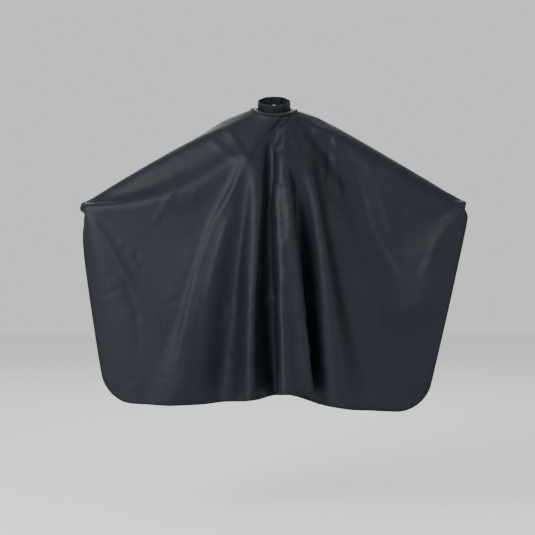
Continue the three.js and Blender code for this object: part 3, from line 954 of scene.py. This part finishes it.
def turned(name, profile, degrees, node, body):
    # profile holds (radius, distance from the ring's axis), with its ends on the snap's own axis or joined
    sides = snap["sides"]
    middle = fromRing(degrees, 0, band["height"] / 2)
    out = fromRing(degrees, 1, band["height"] / 2) - middle
    up = fromRing(degrees, 0, band["height"] / 2 + 1) - middle
    side = np.cross(up, out)
    points = [
        middle + out * along + (side * math.cos(a) + up * math.sin(a)) * radius
        for radius, along in profile for a in (2 * math.pi * k / sides for k in range(sides))
    ]
    closed = profile[0] == profile[-1]
    if closed:
        points = points[: -sides]
    rings = len(points) // sides
    faces = []
    for i in range(rings if closed else rings - 1):
        for k in range(sides):
            a, b, n = i * sides + k, i * sides + (k + 1) % sides, ((i + 1) % rings) * sides
            faces.append((a, b, n + (k + 1) % sides, n + k))
    if not closed:
        faces += [tuple(range(sides))[::-1], tuple((rings - 1) * sides + k for k in range(sides))]
    made = newPiece(name, points, faces, plastic)
    faceOutwards(made)
    edge = made.modifiers.new("edge", "BEVEL")
    edge.width, edge.segments, edge.limit_method, edge.angle_limit = 0.00012, 2, "ANGLE", 0.6
    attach(made, body)
    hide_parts(node)
    return made


def sagOf(disc, face):
    return face - math.sqrt(face * face - disc * disc)


def capProfile(face, side, postEnd):
    r = snap["cap"]
    top = face + side * 0.001
    return [
        (0.00002, postEnd), (snap["post"], postEnd), (snap["post"], face), (r - 0.0002, face),
        (r, face + side * 0.0002), (r, top - side * 0.0006), (r - 0.0004, top - side * 0.0002),
        (r - 0.0011, top), (r - 0.0015, top - side * 0.00012), (r - 0.0019, top + side * 0.00004),
        (0.0013, top + side * 0.0002), (0.0007, top + side * 0.00018), (0.0005, top + side * 0.00008),
        (0.00002, top + side * 0.00006),
    ]


def makeSnaps():
    hole = snap["post"] + 0.0003
    for i, degrees in enumerate(snap["angles"], 1):
        base, face, knob = across["bandOuter"] + 0.0003, across["studFace"], across["knobTop"]
        stud = [
            (hole, base), (0.0044, base), (0.0044, face - 0.0002), (0.0040, face), (0.0024, face),
            (0.0018, face + 0.0002), (0.00178, face + 0.0005), (0.0020, knob - 0.0005),
            (0.0019, knob - 0.0002), (0.0016, knob), (hole, knob), (hole, base),
        ]
        turned(f"snapStud.{i}", stud, degrees, f"stud_{i}", "root")
        inside = across["bandInner"] - 0.0003 - sagOf(snap["cap"], across["bandInner"])
        turned(f"snapStudCap.{i}", capProfile(inside, -1, face), degrees, f"stud_cap_{i}", "root")
    for i, degrees in enumerate(snap["angles"][: snap["sockets"]], 1):
        floor, mouth, back = across["floor"], across["mouth"], across["back"]
        socket = [
            (hole, floor), (0.0031, floor), (0.0031, mouth + 0.0003), (0.0033, mouth), (0.0043, mouth),
            (0.0049, mouth + 0.0004), (0.0050, mouth + 0.0008), (0.0050, back), (hole, back), (hole, floor),
        ]
        turned(f"snapSocket.{i}", socket, degrees, f"socket_{i}", "closing_tab")
        outside = across["tabOuter"] + 0.0003
        turned(f"snapTabCap.{i}", capProfile(outside, 1, floor), degrees, f"tab_cap_{i}", "closing_tab")


label = {
    "width": 0.026, "length": 0.038, "thickness": 0.0004, "stand": 0.0010, "fromSlit": 0.012,
    "fromNeck": 0.008, "edge": 0.002,
}


def makeLabel(surface):
    spread = math.radians(capeCut["backSpread"])
    down = np.array([-math.sin(spread), math.cos(spread)])  # along the slit, away from the neck
    outwards = np.array([-math.cos(spread), -math.sin(spread)])  # away from the slit
    corner = down * (capeCut["neckRadius"] + label["fromNeck"]) + outwards * label["fromSlit"]
    cols, rows = 14, 20
    points, faces, places = [], [], []
    for face in (0, 1):
        for j in range(rows + 1):
            for i in range(cols + 1):
                place = corner + outwards * label["width"] * i / cols + down * label["length"] * j / rows
                spot, out = surface.at(place)
                curl = 0.0012 * (j / rows) ** 3
                lift = label["stand"] + curl + face * label["thickness"]
                points.append(spot - out * lift)
                places.append((label["width"] * i / cols, label["length"] * j / rows + face * 0.05))
    row, layer = cols + 1, (cols + 1) * (rows + 1)
    for j in range(rows):
        for i in range(cols):
            a = j * row + i
            quad = (a, a + 1, a + row + 1, a + row)
            faces += [quad, tuple(layer + k for k in (quad[0], *quad[:0:-1]))]
    rim = [*range(row), *[j * row + cols for j in range(1, rows + 1)]]
    rim += [*range(rows * row + cols - 1, rows * row - 1, -1), *[j * row for j in range(rows - 1, 0, -1)]]
    faces += [(b, a, a + layer, b + layer) for a, b in zip(rim, rim[1:] + rim[:1])]
    made = newPiece("careLabel", points, faces, satin)
    layUv(made, places)
    faceOutwards(made)
    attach(made, "root")
    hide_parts("care_label")
    spots = []
    for t in np.arange(label["edge"], label["width"] - label["edge"], stitch["pitch"]):
        place = corner + outwards * t + down * label["edge"]
        spot, out = surface.at(place)
        ahead, _ = surface.at(place + outwards * 0.001)
        spots.append((spot - out * (label["stand"] + label["thickness"]), ahead - spot, -out))
    seam = stitches("labelStitches", spots)
    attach(seam, "root")


sheet, surface = makeSheet()
print("sheet smoothed")
hems = makeHems(surface)
print("hems sewn")
makeBand()
makeSnaps()
makeLabel(surface)
print("band, snaps and label in place")
cutArea()


stageLook = {"floor": -1.45, "size": 16, "paper": (0.86, 0.87, 0.88), "world": 0.8}
lamps = [  # place, size, power, aim
    ((-2.6, -3.2, 1.3), 1.6, 190, (0, 0, -0.5)),
    ((2.8, -3.4, 0.6), 2.4, 40, (0, 0, -0.5)),
    ((0, 3.0, 2.2), 3.0, 90, (0, 0, -0.6)),
]


def makeStage():
    finish, tree, shader = newMaterial("paleFloor", 0.8)
    place = addNode(tree, "ShaderNodeTexCoord").outputs["Object"]
    grain = addNode(tree, "ShaderNodeTexNoise", {"Vector": place, "Scale": 3.0, "Detail": 4.0}).outputs[0]
    pale = stageLook["paper"]
    paler = tuple(min(c + 0.03, 1) for c in pale)
    tree.links.new(blendOf(tree, grain, pale, paler), shader.inputs["Base Color"])
    half, z = stageLook["size"] / 2, stageLook["floor"]
    corners = [(-half, -half, z), (half, -half, z), (half, half, z), (-half, half, z)]
    floor = newPiece("floor", corners, [(0, 1, 2, 3)], finish, False)
    for i, (place, size, power, aim) in enumerate(lamps):
        light = bpy.data.lights.new(f"lamp{i}", "AREA")
        light.size, light.energy = size, power
        aimed(f"lamp{i}", light, place, Vector(aim) - Vector(place))
    world = bpy.data.worlds.new("studio")
    world.use_nodes = True
    bpy.context.scene.world = world
    sky = world.node_tree.nodes["Background"]
    sky.inputs["Color"].default_value = (1, 1, 1, 1)
    sky.inputs["Strength"].default_value = stageLook["world"]


makeStage()
print("stage set")
